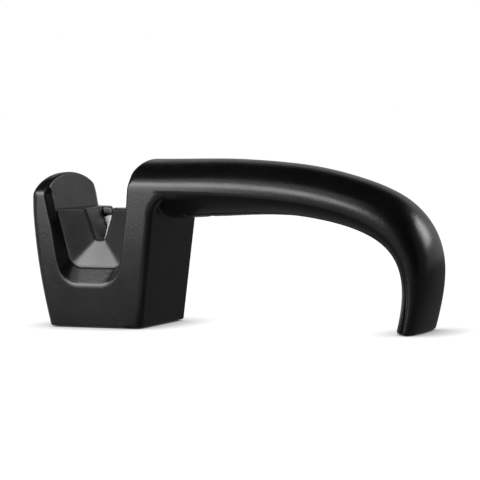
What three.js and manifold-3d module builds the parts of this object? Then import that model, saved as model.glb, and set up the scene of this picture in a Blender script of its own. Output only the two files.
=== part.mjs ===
// Hand-held knife sharpener: a head with a notch that holds two crossed ceramic rods,
// and a bridge-shaped handle that curves down to the table. Millimetres, +Z up,
// +X along the handle, the front of the head faces -Y.
import * as THREE from 'three';
import { mergeVertices } from 'three/addons/utils/BufferGeometryUtils.js';
import Module from 'manifold-3d';

const wasm = await Module();
wasm.setup();

// Head of the housing
const headLength = 47.4;
const headDepth = 47.4;
const headLeanDepth = 1.8;
const headLeanRight = 8;
const headBowLeft = 8.1;
const headCorner = 3;
const shoulderHeight = 63.8;
const earSpring = 62.6;
const earTop = 71.4;
const earRound = 4.4;
const wall = 2.6;

// Notch through the head, with a flared mouth at the front and the back
const earThickness = 9;
const columnThickness = 14.6;
const notchLeanLeft = 0.192;
const notchLeanRight = 0.086;
const notchCorner = 7;
const saddleFloor = 28;
const mouthDepth = 4.7;
const mouthDrop = 8.3;
const mouthFlare = 1.3;

// Handle: a spine curve, the section carried along it, and the stretches over which it changes
const handleReach = 126.6;
const handleRun = 114.9;
const handleTurn = 55.3;
const handleEndLean = 0.31;
const handleHalfEnd = 17.9;
const handleRise = 14.1;
const handleRiseEnd = 3.8;
const handleSwell = 0.8;
const handleBelly = 13.9;
const handleBellyEnd = 8.8;
const archPowerRoot = 1.7;
const archPower = 2;
const archPowerEnd = 2.8;
const bellyPower = 1.7;
const riseStretch = [0.53, 1];
const swellStretch = [0.04, 0.18];
const fadeStretch = [0.28, 0.45];
const bellyStretch = [0.02, 0.32];
const rootStretch = [0.1, 0.35];
const powerStretch = [0.6, 1];

// Cover that closes the underside of the handle
const coverThickness = 3.9;
const coverThicknessEnd = 7.2;
const coverStretch = [0.55, 0.95];
const coverHalf = 8.4;
const coverSpread = [0.42, 0.74];
const coverSetback = 8;
const coverGrip = 1.6;
const coverBoss = 7;
const coverScrewReach = { inner: 20, outer: 62 };

// Sharpening guide, parted into a front and a rear half
const guideHeight = 27.4;
const guideRim = 0.7;
const slotFloorHeight = 12.2;
const slotTopWidth = 14.2;
const slotFloorWidth = 5.1;
const slotShift = 0.7;
const slotCorner = 0.8;
const slotHalfDepth = 14;
const bladeGap = 2.6;
const hoodHeight = 3.3;
const hoodDepth = 10;
const hoodRound = 1.4;
const hoodRoot = 2;
const guideScrewOffset = 12;

// Ceramic rods
const rodDiameter = 6;
const rodTilt = 16.2;
const rodOffset = 5;
const rodCrossHeight = 7.2;
const rodHeadroom = 1.2;
const rodChamfer = 0.5;
const rodDome = 1.5;

// Base plate, rubber feet and handle foot
const baseThickness = 3.2;
const footProud = 0.5;
const footDiameter = 10;
const footSink = 1.4;
const footMargin = 0.9;
const footChamfer = 0.4;
const handleFootInset = 2.2;
const handleFootSink = 2;
const handleEndWall = 3;

// Screws: one pattern for all three groups, and the bosses that take the base screws
const screwDiameter = 3;
const screwHeadDiameter = 5.6;
const screwHeadHeight = 1.8;
const screwHeadRound = 0.7;
const screwBite = 6;
const screwCone = 1;
const recessWidth = 0.9;
const recessLength = 3.4;
const recessDepth = 1.1;
const bossWidth = 7.5;
const bossHeight = 11;

// Clearances: a sliding fit, a seat, and the joint between two shells
const fitGap = 0.3;
const seatGap = 0.2;
const jointGap = 0.15;

// Facets, the margin by which cutters overshoot, and how finely places are told apart
const arcSteps = 5;
const roundSides = 24;
const screwSides = 14;
const headLevels = 5;
const handleStations = 22;
const archSteps = 14;
const over = 6;
const spineHalvings = 40;
const samePoint = 1e-6;

// Finishes
const finishes = {
  shell: { color: 0x17181a, roughness: 0.48, metalness: 0 },
  cover: { color: 0x141516, roughness: 0.5, metalness: 0 },
  guide: { color: 0x1a1b1d, roughness: 0.3, metalness: 0 },
  ceramic: { color: 0xe9e7e1, roughness: 0.35, metalness: 0 },
  rubber: { color: 0x0c0c0d, roughness: 0.85, metalness: 0 },
  steel: { color: 0xb4b7ba, roughness: 0.35, metalness: 1 },
};

// Places that follow from the sizes
const share = (z) => THREE.MathUtils.clamp(z / shoulderHeight, 0, 1);
const blend = (from, to, part) => from + (to - from) * part;
const ease = (t, [from, to]) => THREE.MathUtils.smoothstep(t, from, to);
const evenly = (from, to, count) => Array.from({ length: count + 1 }, (_, i) => blend(from, to, i / count));
const headLeft = (z) => -headLength / 2 - headBowLeft * (1 - (1 - share(z)) ** 2);
const headRight = (z) => headLength / 2 + headLeanRight * share(z);
const headSide = (z) => headDepth / 2 + headLeanDepth * share(z);
const notchLeft = (z) => headLeft(shoulderHeight) + earThickness + notchLeanLeft * (shoulderHeight - z);
const notchRight = (z) => headRight(shoulderHeight) - columnThickness - notchLeanRight * (shoulderHeight - z);
const foldY = headSide(saddleFloor - mouthDrop) - mouthDepth;
const guideTop = saddleFloor + guideHeight;
const slotFloor = saddleFloor + slotFloorHeight;
const slotX = (notchLeft(guideTop) + notchRight(guideTop)) / 2 + slotShift;
const handleTop = shoulderHeight + handleRise;
const endX = headLength / 2 + handleReach;
const farLeft = headLeft(shoulderHeight) - over;
const farRight = endX + handleRise + handleTurn;
const up = new THREE.Vector3(0, 0, 1);

// A closed three.js geometry as a solid, and a solid as a geometry
function solid(geometry) {
  const bare = geometry.clone();
  bare.deleteAttribute('normal');
  bare.deleteAttribute('uv');
  const merged = mergeVertices(bare);
  const vertProperties = new Float32Array(merged.attributes.position.array);
  const triVerts = new Uint32Array(merged.index.array);
  return new wasm.Manifold(new wasm.Mesh({ numProp: 3, vertProperties, triVerts }));
}

function geometryOf(body) {
  const mesh = body.getMesh();
  const geometry = new THREE.BufferGeometry();
  geometry.setAttribute('position', new THREE.BufferAttribute(new Float32Array(mesh.vertProperties), 3));
  geometry.setIndex(new THREE.BufferAttribute(new Uint32Array(mesh.triVerts), 1));
  geometry.computeVertexNormals();
  return geometry;
}

function signedVolume(points, faces) {
  const cross = new THREE.Vector3();
  return faces.reduce((sum, [a, b, c]) => sum + points[a].dot(cross.crossVectors(points[b], points[c])), 0);
}

// A skin through outlines with equal point counts, closed at both ends
function loft(outlines, place) {
  const count = outlines[0].length;
  const last = outlines.length - 1;
  const points = outlines.flatMap((outline, station) => outline.map((point) => place(point, station)));
  const faces = [];
  for (let station = 0; station < last; station += 1) {
    for (let side = 0; side < count; side += 1) {
      const next = (side + 1) % count;
      const near = station * count;
      const far = near + count;
      faces.push([near + side, near + next, far + next], [near + side, far + next, far + side]);
    }
  }
  const start = THREE.ShapeUtils.triangulateShape(outlines[0], []);
  const end = THREE.ShapeUtils.triangulateShape(outlines[last], []);
  const turnedRound = THREE.ShapeUtils.isClockWise(outlines[0]);
  start.forEach(([a, b, c]) => faces.push(turnedRound ? [a, b, c] : [a, c, b]));
  end.map((face) => face.map((index) => index + last * count))
    .forEach(([a, b, c]) => faces.push(turnedRound ? [a, c, b] : [a, b, c]));
  const outward = signedVolume(points, faces) > 0;
  const geometry = new THREE.BufferGeometry().setFromPoints(points);
  geometry.setIndex(faces.flatMap(([a, b, c]) => (outward ? [a, b, c] : [a, c, b])));
  return solid(geometry);
}

function box(x0, x1, y0, y1, z0, z1) {
  const geometry = new THREE.BoxGeometry(x1 - x0, y1 - y0, z1 - z0);
  geometry.translate((x0 + x1) / 2, (y0 + y1) / 2, (z0 + z1) / 2);
  return solid(geometry);
}

// A slab as wide as the whole object between two heights or two depths
const slabZ = (z0, z1) => box(farLeft, farRight, -headDepth, headDepth, z0, z1);
const slabY = (y0, y1) => box(farLeft, farRight, y0, y1, -over, handleTop + over);

// A round bar along +Z
function bar(diameter, z0, z1, sides) {
  const geometry = new THREE.CylinderGeometry(diameter / 2, diameter / 2, z1 - z0, sides);
  geometry.rotateX(Math.PI / 2);
  geometry.translate(0, 0, (z0 + z1) / 2);
  return solid(geometry);
}

// A turned piece about +Z from points of radius and height that start and end on the axis
function turned(profile, sides) {
  const geometry = new THREE.LatheGeometry(profile.map(([r, h]) => new THREE.Vector2(r, h)), sides);
  geometry.rotateX(Math.PI / 2);
  return solid(geometry);
}

// Turns a body made along +Z to a direction and puts it at a point
function placed(body, at, direction) {
  const turn = new THREE.Quaternion().setFromUnitVectors(up, direction);
  const matrix = new THREE.Matrix4().compose(at, turn, new THREE.Vector3(1, 1, 1));
  return body.transform(matrix.toArray());
}

// The points of a path, without doubled points
function pathPoints(path, steps) {
  const points = path.getPoints(steps);
  const apart = (a, b) => a.distanceTo(b) > samePoint;
  const kept = points.filter((point, index) => index === 0 || apart(point, points[index - 1]));
  return apart(kept[0], kept[kept.length - 1]) ? kept : kept.slice(0, -1);
}

function roundedOutline(x0, x1, y0, y1, radius) {
  const path = new THREE.Path();
  const quarter = Math.PI / 2;
  path.absarc(x1 - radius, y0 + radius, radius, -quarter, 0);
  path.absarc(x1 - radius, y1 - radius, radius, 0, quarter);
  path.absarc(x0 + radius, y1 - radius, radius, quarter, 2 * quarter);
  path.absarc(x0 + radius, y0 + radius, radius, 2 * quarter, 3 * quarter);
  return pathPoints(path, arcSteps);
}

// An open-topped trough in X and Z: two leaning walls and a floor with rounded corners
function troughOutline(left, right, floor, top, radius) {
  const onWall = (side) => {
    const rise = new THREE.Vector2(side(top) - side(floor), top - floor).setLength(radius);
    return rise.add(new THREE.Vector2(side(floor), floor));
  };
  const path = new THREE.Path();
  path.moveTo(left(top), top);
  path.lineTo(onWall(left).x, onWall(left).y);
  path.quadraticCurveTo(left(floor), floor, left(floor) + radius, floor);
  path.lineTo(right(floor) - radius, floor);
  path.quadraticCurveTo(right(floor), floor, onWall(right).x, onWall(right).y);
  path.lineTo(right(top), top);
  return pathPoints(path, arcSteps);
}

// A tunnel along X: straight sides up to the spring of an arch, then half an ellipse,
// lower at its outer end by the rounding of the ear's edge
function tunnel(inset) {
  const half = headSide(earSpring) - inset;
  const outlineAt = (drop) => {
    const spring = earSpring - drop;
    const path = new THREE.Path();
    path.moveTo(half, -over);
    path.lineTo(half, spring);
    path.absellipse(0, spring, half, earTop - earSpring - inset, 0, Math.PI);
    path.lineTo(-half, -over);
    return pathPoints(path, archSteps);
  };
  const left = headLeft(shoulderHeight) + inset;
  const angles = evenly(0, Math.PI / 2, arcSteps);
  const ends = [farLeft, ...angles.map((angle) => left + earRound * (1 - Math.cos(angle))), farRight];
  const drops = [earRound, ...angles.map((angle) => earRound * (1 - Math.sin(angle))), 0];
  return loft(drops.map(outlineAt), (point, end) => new THREE.Vector3(ends[end], point.x, point.y));
}

// Head: a block between leaning sides under an arched top, made smaller all round by an inset
function headBody(inset, bottom) {
  const levels = [...evenly(bottom, shoulderHeight, headLevels), earTop + over];
  const radius = Math.max(headCorner - inset, jointGap);
  const outlines = levels.map((z) => roundedOutline(
    headLeft(z) + inset, headRight(z) - inset, inset - headSide(z), headSide(z) - inset, radius,
  ));
  const block = loft(outlines, (point, level) => new THREE.Vector3(point.x, point.y, levels[level]));
  return block.intersect(tunnel(inset));
}

// Notch: a trough along Y that opens out towards both faces, made larger all round by a growth
function notchBody(growth) {
  const outer = 1 + over / mouthDepth;
  const stations = [[-1, outer], [-1, 0], [1, 0], [1, outer]];
  const outlines = stations.map(([, opened]) => troughOutline(
    (z) => notchLeft(z) - mouthFlare * opened - growth,
    (z) => notchRight(z) + mouthFlare * opened + growth,
    saddleFloor - mouthDrop * opened - growth,
    handleTop + over,
    notchCorner,
  ));
  return loft(outlines, (point, index) => {
    const [side, opened] = stations[index];
    return new THREE.Vector3(point.x, side * (foldY + mouthDepth * opened), point.y);
  });
}

// Handle: the spine runs level out of the head, then turns down to the table
const rootX = notchRight(shoulderHeight) - over;
const spine = new THREE.CubicBezierCurve(
  new THREE.Vector2(rootX, shoulderHeight),
  new THREE.Vector2(rootX + handleRun, shoulderHeight),
  new THREE.Vector2(endX + handleEndLean * handleTurn, handleTurn),
  new THREE.Vector2(endX - handleEndLean * over, -over),
);
const leavesHead = spineWhere(({ x }) => x >= headRight(shoulderHeight));
const beyondHead = (t) => Math.max(t - leavesHead, 0) / (1 - leavesHead);
const halfWidthAt = (t) => blend(handleHalfEnd, headSide(shoulderHeight), (1 - beyondHead(t)) ** 2);
const swellAt = (t) => handleSwell * (ease(t, swellStretch) - ease(t, fadeStretch));
const riseAt = (t) => blend(handleRise, handleRiseEnd, ease(t, riseStretch)) + swellAt(t);
const bellyAt = (t) => blend(handleBelly, handleBellyEnd, ease(t, bellyStretch));
const jointAt = (t) => blend(coverThickness, coverThicknessEnd, ease(t, coverStretch)) - bellyAt(t);

function outwardAt(t) {
  const along = spine.getTangent(t);
  return new THREE.Vector3(-along.y, 0, along.x);
}

// A point of the section: across is Y, height runs outward from the spine
function onSpine(t, across, height) {
  const { x, y } = spine.getPoint(t);
  return new THREE.Vector3(x, across, y).addScaledVector(outwardAt(t), height);
}

// The place along the spine where a test first holds
function spineWhere(test) {
  let low = 0;
  let high = 1;
  for (let halving = 0; halving < spineHalvings; halving += 1) {
    const middle = (low + high) / 2;
    [low, high] = test(spine.getPoint(middle)) ? [low, middle] : [middle, high];
  }
  return high;
}

function alongSpine(from, to, outlineAt) {
  const stations = evenly(from, to, handleStations);
  return loft(stations.map(outlineAt), (point, index) => onSpine(stations[index], point.x, point.y));
}

// Section: an arch above the spine and a belly below it, both superellipses
function handleTube(inset, from, to) {
  return alongSpine(from, to, (t) => {
    const rounder = blend(archPowerRoot, archPower, ease(t, rootStretch));
    const power = blend(rounder, archPowerEnd, ease(t, powerStretch));
    return Array.from({ length: 2 * archSteps }, (_, step) => {
      const angle = (step / archSteps) * Math.PI;
      const upper = step <= archSteps;
      const bend = 2 / (upper ? power : bellyPower);
      const reach = (value) => Math.sign(value) * Math.abs(value) ** bend;
      const height = (upper ? riseAt(t) : bellyAt(t)) - inset;
      const half = halfWidthAt(t) - inset;
      return new THREE.Vector2(half * reach(Math.cos(angle)), height * reach(Math.sin(angle)));
    });
  });
}

// The room for the cover: a channel in the belly that widens to the whole width at the handle's end
function coverZone(gap) {
  const start = headRight(shoulderHeight) + coverSetback + gap;
  return alongSpine(spineWhere(({ x }) => x >= start), 1, (t) => {
    const half = blend(coverHalf, halfWidthAt(t) + over, ease(t, coverSpread)) - gap;
    const below = -bellyAt(t) - over;
    const joint = jointAt(t) - gap;
    const corners = [[-half, below], [half, below], [half, joint], [-half, joint]];
    return corners.map(([x, y]) => new THREE.Vector2(x, y));
  });
}

// Screws: made along +Z with the underside of the head at zero, and the holes that take them
function screwBody(grip) {
  const radius = screwDiameter / 2;
  const head = screwHeadDiameter / 2;
  const tip = grip + screwBite;
  const blank = turned([
    [0, -screwHeadHeight], [head - screwHeadRound, -screwHeadHeight],
    [head, screwHeadRound - screwHeadHeight], [head, 0],
    [radius, 0], [radius, tip - screwCone], [0, tip],
  ], screwSides);
  const bottom = recessDepth - screwHeadHeight;
  const arms = [[recessLength / 2, recessWidth / 2], [recessWidth / 2, recessLength / 2]];
  return arms.reduce((body, [x, y]) => body.subtract(box(-x, x, -y, y, bottom - over, bottom)), blank);
}

function screwHole(grip) {
  const shank = bar(screwDiameter + 2 * fitGap, -over, grip + screwBite + fitGap, screwSides);
  return shank.add(bar(screwHeadDiameter + 2 * fitGap, -screwHeadHeight - over, seatGap, screwSides));
}

// Base screws: through the base plate into a boss at the middle of each wall of the head
const baseTop = footProud + baseThickness;
const bossBottom = baseTop + seatGap;
const bossX = headLength / 2 - wall - bossWidth / 2;
const bossY = headDepth / 2 - wall - bossWidth / 2;
const baseScrewSeat = footProud + seatGap + screwHeadHeight;
const baseGrip = bossBottom - baseScrewSeat;
const baseScrews = { left: [-1, 0], right: [1, 0], front: [0, -1], rear: [0, 1] };
const baseScrewAt = ([x, y]) => new THREE.Vector3(x * bossX, y * bossY, baseScrewSeat);

function baseBoss([x, y]) {
  const half = bossWidth / 2;
  const { x: atX, y: atY } = baseScrewAt([x, y]);
  const block = box(
    atX - half + Math.min(x, 0) * over, atX + half + Math.max(x, 0) * over,
    atY - half + Math.min(y, 0) * over, atY + half + Math.max(y, 0) * over,
    bossBottom, bossBottom + bossHeight,
  );
  return block.intersect(headBody(wall / 2, -over));
}

// Guide screws: up through the floor of the notch, one into each half of the guide
const guideSides = { front: -1, rear: 1 };
const guideGrip = wall + seatGap + fitGap;
const guideScrewSeat = saddleFloor - wall - seatGap;
const guideScrewAt = (side) => new THREE.Vector3(slotX, side * guideScrewOffset, guideScrewSeat);

// Cover screws: from the belly of the handle into bosses that reach down from its top
const coverScrewT = (reach) => spineWhere(({ x }) => x >= headRight(shoulderHeight) + reach);
const coverScrewAt = (t) => onSpine(t, 0, jointAt(t) - coverGrip - seatGap);
const coverScrewGrip = coverGrip + seatGap + 2 * jointGap;
const coverScrews = Object.entries(coverScrewReach).map(([name, reach]) => [name, coverScrewT(reach)]);

function coverBossBody([, t]) {
  const length = riseAt(t) - wall / 2 - jointAt(t) - jointGap;
  return placed(bar(coverBoss, 0, length, roundSides), onSpine(t, 0, jointAt(t) + jointGap), outwardAt(t));
}

// The holes for all three groups of screws, each drilled through every piece that it crosses
const baseHole = (way) => placed(screwHole(baseGrip), baseScrewAt(way), up);
const guideHole = (side) => placed(screwHole(guideGrip), guideScrewAt(side), up);
const coverHole = ([, t]) => placed(screwHole(coverScrewGrip), coverScrewAt(t), outwardAt(t));
const baseHoles = Object.values(baseScrews).map(baseHole);
const guideHoles = Object.values(guideSides).map(guideHole);
const coverHoles = coverScrews.map(coverHole);
const drilled = (body, holes) => holes.reduce((left, hole) => left.subtract(hole), body);

// The recess in the handle's end that takes its rubber foot
const footDeep = footProud + handleFootSink;
const endFrom = spineWhere(({ y }) => y <= footDeep + over);
const handleFootShape = (inset, bottom, top) => handleTube(inset, endFrom, 1).intersect(slabZ(bottom, top));
const handleFootRecess = handleFootShape(handleFootInset - fitGap, -over, footDeep);
const aboveGround = slabZ(footProud, handleTop + over);

// Housing: head and handle in one hollow shell, open below the head and along the handle's cover
function housingBody() {
  const outside = headBody(0, footProud).add(handleTube(0, 0, 1).subtract(coverZone(-jointGap)));
  const hollowEnd = spineWhere(({ y }) => y <= footDeep + handleEndWall);
  const inside = headBody(wall, -over).add(handleTube(wall, 0, hollowEnd)).subtract(notchBody(wall));
  const shell = outside.subtract(notchBody(0)).subtract(inside).intersect(aboveGround);
  const bosses = [...Object.values(baseScrews).map(baseBoss), ...coverScrews.map(coverBossBody)];
  const whole = bosses.reduce((body, boss) => body.add(boss), shell);
  return drilled(whole, [...baseHoles, ...guideHoles, ...coverHoles, handleFootRecess]);
}

function handleCoverBody() {
  const strip = handleTube(0, 0, 1).intersect(coverZone(jointGap)).intersect(aboveGround);
  return drilled(strip, [...coverHoles, handleFootRecess]);
}

// Rods: each stands in a socket of its guide half and leans across the slot
const tilt = THREE.MathUtils.degToRad(rodTilt);
const rodRadius = rodDiameter / 2;
const hoodUnder = guideTop - hoodHeight;
const rodLow = (fitGap - rodCrossHeight) / Math.cos(tilt) + rodRadius * Math.tan(tilt);
const rodHigh = (guideHeight - hoodHeight - rodHeadroom - rodCrossHeight) / Math.cos(tilt);
const rodAxis = (side) => new THREE.Vector3(-side * Math.sin(tilt), 0, Math.cos(tilt));
const rodCross = (side) => new THREE.Vector3(slotX, side * rodOffset, saddleFloor + rodCrossHeight);

function rodBody(side) {
  const dome = evenly(0, Math.PI / 2, arcSteps).map((angle) => [
    rodRadius * Math.cos(angle), rodHigh - rodDome * (1 - Math.sin(angle)),
  ]);
  const profile = [[0, rodLow], [rodRadius - rodChamfer, rodLow], [rodRadius, rodLow + rodChamfer], ...dome];
  return placed(turned(profile, roundSides), rodCross(side), rodAxis(side));
}

function rodSocket(side) {
  const hole = bar(rodDiameter + 2 * fitGap, rodLow - over, rodHigh + over, roundSides);
  return placed(hole, rodCross(side), rodAxis(side)).intersect(slabZ(-over, hoodUnder));
}

// Guide: a block in the notch with a V slot that opens into a funnel towards both faces
const acrossY = (depths) => (point, index) => new THREE.Vector3(point.x, depths[index], point.y);
const slotSlope = (slotTopWidth - slotFloorWidth) / 2 / (guideTop - slotFloor);
const slotHalf = (z) => slotFloorWidth / 2 + slotSlope * (z - slotFloor);
const seatOutline = (inset, top) => troughOutline(
  (z) => notchLeft(z) + inset,
  (z) => notchRight(z) - inset,
  saddleFloor + inset,
  top,
  notchCorner,
);

function guideSlot() {
  const top = guideTop + over;
  const slotLeft = (z) => slotX - slotHalf(z);
  const slotRight = (z) => slotX + slotHalf(z);
  const throat = troughOutline(slotLeft, slotRight, slotFloor, top, slotCorner);
  const mouth = seatOutline(fitGap + guideRim, top);
  const depths = [-foldY - over, -foldY, -slotHalfDepth, slotHalfDepth, foldY, foldY + over];
  return loft(depths.map((y) => (Math.abs(y) > slotHalfDepth ? mouth : throat)), acrossY(depths));
}

// A hood over the head of the rod, from one wall of the slot to just short of its middle
function hoodBody(side) {
  const tip = slotX - side * bladeGap / 2;
  const root = slotX - side * (slotTopWidth / 2 + hoodRoot);
  const path = new THREE.Path();
  path.moveTo(root, hoodUnder);
  path.lineTo(tip, hoodUnder);
  path.lineTo(tip, guideTop - hoodRound);
  path.quadraticCurveTo(tip, guideTop, tip - side * hoodRound, guideTop);
  path.lineTo(root, guideTop);
  const outline = pathPoints(path, arcSteps);
  return loft([outline, outline], acrossY([0, side * hoodDepth]));
}

function guideHalfBody(side) {
  const outline = seatOutline(fitGap, guideTop);
  const depths = [side * jointGap / 2, side * foldY];
  const block = loft([outline, outline], acrossY(depths));
  const parted = slabY(...[depths[0], side * headDepth].sort((a, b) => a - b));
  const hooded = block.subtract(guideSlot()).add(hoodBody(side)).intersect(parted);
  return drilled(hooded, [rodSocket(side), ...guideHoles]);
}

// Base plate: closes the head from below, with recesses for four rubber feet
const footX = headLength / 2 - wall - fitGap - footMargin - footDiameter / 2;
const footY = headDepth / 2 - wall - fitGap - footMargin - footDiameter / 2;
const baseFeet = {
  front_left: new THREE.Vector3(-footX, -footY, 0),
  front_right: new THREE.Vector3(footX, -footY, 0),
  rear_left: new THREE.Vector3(-footX, footY, 0),
  rear_right: new THREE.Vector3(footX, footY, 0),
};

function basePlateBody() {
  const inset = wall + fitGap;
  const halfX = headLength / 2 - inset;
  const halfY = headDepth / 2 - inset;
  const outline = roundedOutline(-halfX, halfX, -halfY, halfY, footMargin);
  const levels = [footProud, baseTop];
  const atLevel = (point, index) => new THREE.Vector3(point.x, point.y, levels[index]);
  const recess = bar(footDiameter + 2 * fitGap, -over, footProud + footSink, roundSides);
  const recesses = Object.values(baseFeet).map((at) => placed(recess, at, up));
  return drilled(loft([outline, outline], atLevel), [...recesses, ...baseHoles]);
}

function baseFootBody(at) {
  const radius = footDiameter / 2;
  const height = footProud + footSink - seatGap;
  const profile = [[0, 0], [radius - footChamfer, 0], [radius, footChamfer], [radius, height], [0, height]];
  return placed(turned(profile, roundSides), at, up);
}

// Assembly: the origin lies on the table under the middle of the object
const sharpener = new THREE.Group();

function piece(name, body, finish) {
  const mesh = new THREE.Mesh(geometryOf(body), new THREE.MeshStandardMaterial(finishes[finish]));
  mesh.name = name;
  sharpener.add(mesh);
}

piece('housing', housingBody(), 'shell');
piece('handle_cover', handleCoverBody(), 'cover');
piece('base_plate', basePlateBody(), 'cover');
piece('handle_foot', handleFootShape(handleFootInset, 0, footDeep - seatGap), 'rubber');
Object.entries(guideSides).forEach(([name, side]) => {
  piece(`guide_${name}`, guideHalfBody(side), 'guide');
  piece(`ceramic_rod_${name}`, rodBody(side), 'ceramic');
  piece(`guide_screw_${name}`, placed(screwBody(guideGrip), guideScrewAt(side), up), 'steel');
});
Object.entries(baseFeet).forEach(([name, at]) => piece(`base_foot_${name}`, baseFootBody(at), 'rubber'));
Object.entries(baseScrews).forEach(([name, way]) => {
  piece(`base_screw_${name}`, placed(screwBody(baseGrip), baseScrewAt(way), up), 'steel');
});
coverScrews.forEach(([name, t]) => {
  piece(`cover_screw_${name}`, placed(screwBody(coverScrewGrip), coverScrewAt(t), outwardAt(t)), 'steel');
});

const bounds = new THREE.Box3().setFromObject(sharpener);
sharpener.position.x = -bounds.getCenter(new THREE.Vector3()).x;

export default sharpener;
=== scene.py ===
import math
import bpy
import numpy as np
from mathutils import Matrix, Vector


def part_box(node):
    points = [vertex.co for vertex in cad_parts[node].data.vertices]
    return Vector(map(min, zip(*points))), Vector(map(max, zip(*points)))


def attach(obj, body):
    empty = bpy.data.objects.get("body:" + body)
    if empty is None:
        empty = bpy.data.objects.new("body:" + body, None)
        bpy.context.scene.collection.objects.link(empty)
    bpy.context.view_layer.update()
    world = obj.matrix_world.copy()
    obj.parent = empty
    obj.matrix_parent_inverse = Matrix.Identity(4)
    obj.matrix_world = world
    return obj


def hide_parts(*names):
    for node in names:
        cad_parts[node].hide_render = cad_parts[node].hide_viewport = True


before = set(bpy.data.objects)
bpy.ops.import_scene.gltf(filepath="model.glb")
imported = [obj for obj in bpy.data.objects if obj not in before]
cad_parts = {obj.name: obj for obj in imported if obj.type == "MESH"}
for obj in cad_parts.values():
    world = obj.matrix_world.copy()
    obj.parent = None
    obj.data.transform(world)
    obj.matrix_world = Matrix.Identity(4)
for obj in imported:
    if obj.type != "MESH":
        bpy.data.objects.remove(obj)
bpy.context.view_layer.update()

# Housing: the head and the handle in one shell of black plastic, moulded with a fine sandblasted
# skin. A knife goes into the notch across the head. The handle leaves the head's right side level
# and turns down to stand on the table.
MM = 0.001
head_length, head_depth, head_height = 47.4 * MM, 47.4 * MM, 63.8 * MM
head_lean_depth, head_lean_right, head_bow_left = 1.8 * MM, 8 * MM, 8.1 * MM
head_corner, head_corner_rear, ear_round = 3 * MM, 1.5 * MM, 4 * MM
web_radius, web_top, web_start, web_end, web_lean = 9 * MM, 60.2 * MM, 12 * MM, 22 * MM, 1.008
column_round, column_round_start, column_round_end = 3.2 * MM, 63 * MM, 70 * MM
ear_spring, ear_top, ear_power, ear_fall = 60.8 * MM, 71.7 * MM, 1.9, 0.07
ear_round_start, ear_round_end, flank_draw = 52 * MM, 64 * MM, 0.13
ear_thickness, column_thickness = 9 * MM, 14.6 * MM
wall = 2.6 * MM
notch_lean_left, notch_lean_right = 0.192, 0.086
notch_bend, notch_draw, notch_floor = 52 * MM, 0.08, 28 * MM
notch_corner, notch_lip_corner, notch_lip_corner_right = 4.8 * MM, 7.5 * MM, 9 * MM
mouth_depth, mouth_drop, mouth_flare_right = 5.4 * MM, 8.3 * MM, 1.2 * MM
mouth_flare_left, mouth_flare_ear = 3.6 * MM, 1.9 * MM
narrow_share, narrow_rear = 0.22, 0.45
narrow_low, narrow_high = (30 * MM, 50 * MM), (62 * MM, 69 * MM)
handle_reach, handle_run, handle_turn, handle_end_lean = 126.6 * MM, 114.9 * MM, 55.3 * MM, 0.31
handle_half_end = 18.6 * MM
handle_rise, handle_rise_end = 13.9 * MM, 3.8 * MM
handle_swell = 0.8 * MM
handle_belly, handle_belly_end = 13.9 * MM, 8.8 * MM
arch_power, arch_power_end, belly_power_root, belly_power = 2, 2.3, 1.55, 1.7
cover_thickness, cover_thickness_end = 3.9 * MM, 6.4 * MM
cover_setback, cover_half = 8 * MM, 8.4 * MM
spine_overshoot = 6 * MM
foot_proud, foot_deep, foot_inset = 0.5 * MM, 2.5 * MM, 2.2 * MM
plate_top, plate_half, plate_corner = 3.7 * MM, 20.8 * MM, 0.9 * MM
fit_gap, joint_gap, joint_widening = 0.3 * MM, 0.15 * MM, 2.5
housing_grid = 0.5 * MM

plate_low, plate_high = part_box("base_plate")
head_x = (plate_low.x + plate_high.x) / 2


def head_share(z):
    return np.clip(z / head_height, 0, 1)


def head_left(z):
    return head_x - head_length / 2 - head_bow_left * (1 - (1 - head_share(z)) ** 2)


def head_right(z):
    return head_x + head_length / 2 + head_lean_right * head_share(z)


def head_side(z):
    return head_depth / 2 + head_lean_depth * head_share(z)


def ease(value, start, end):
    """A smooth step from 0 to 1 between two values."""
    part = np.clip((value - start) / (end - start), 0, 1)
    return part * part * (3 - 2 * part)


def mix(start, end, part):
    return start + (end - start) * part


def rounded(first, second, radius):
    """The common part of two fields of distances, with its edge rounded."""
    beyond = np.hypot(np.maximum(first + radius, 0), np.maximum(second + radius, 0))
    return np.minimum(np.maximum(first, second), -radius) + beyond


def oval_field(across, half, up, tall, power):
    """Distance to an oval of a half width and a height, from how far out and up each place is."""
    across, up = across / half, up / tall
    reach = np.maximum((across ** power + up ** power) ** (1 / power), 0.1)
    slope = np.hypot(across ** (power - 1) / half, up ** (power - 1) / tall) * reach ** (1 - power)
    return (reach - 1) / np.maximum(slope, 0.5 / half)


def notch_left(z):
    lean = notch_lean_left * (head_height - z) + notch_draw * np.maximum(notch_bend - z, 0)
    return head_left(head_height) + ear_thickness + lean


def notch_right(z):
    lean = notch_lean_right * (head_height - z) + notch_draw * np.maximum(notch_bend - z, 0)
    return head_right(head_height) - column_thickness - lean


def corner_web(x, y, z):
    """Distance to the web that rounds the inner corner below the handle at the front and the rear."""
    reach = web_radius * ease(np.abs(y), web_start, web_end)
    centre_z = web_top - reach
    centre_x = head_right(centre_z) + web_lean * reach
    hollow = reach - np.hypot(x - centre_x, z - centre_z)
    return np.maximum(hollow, np.maximum(x - centre_x, centre_z - z))


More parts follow.
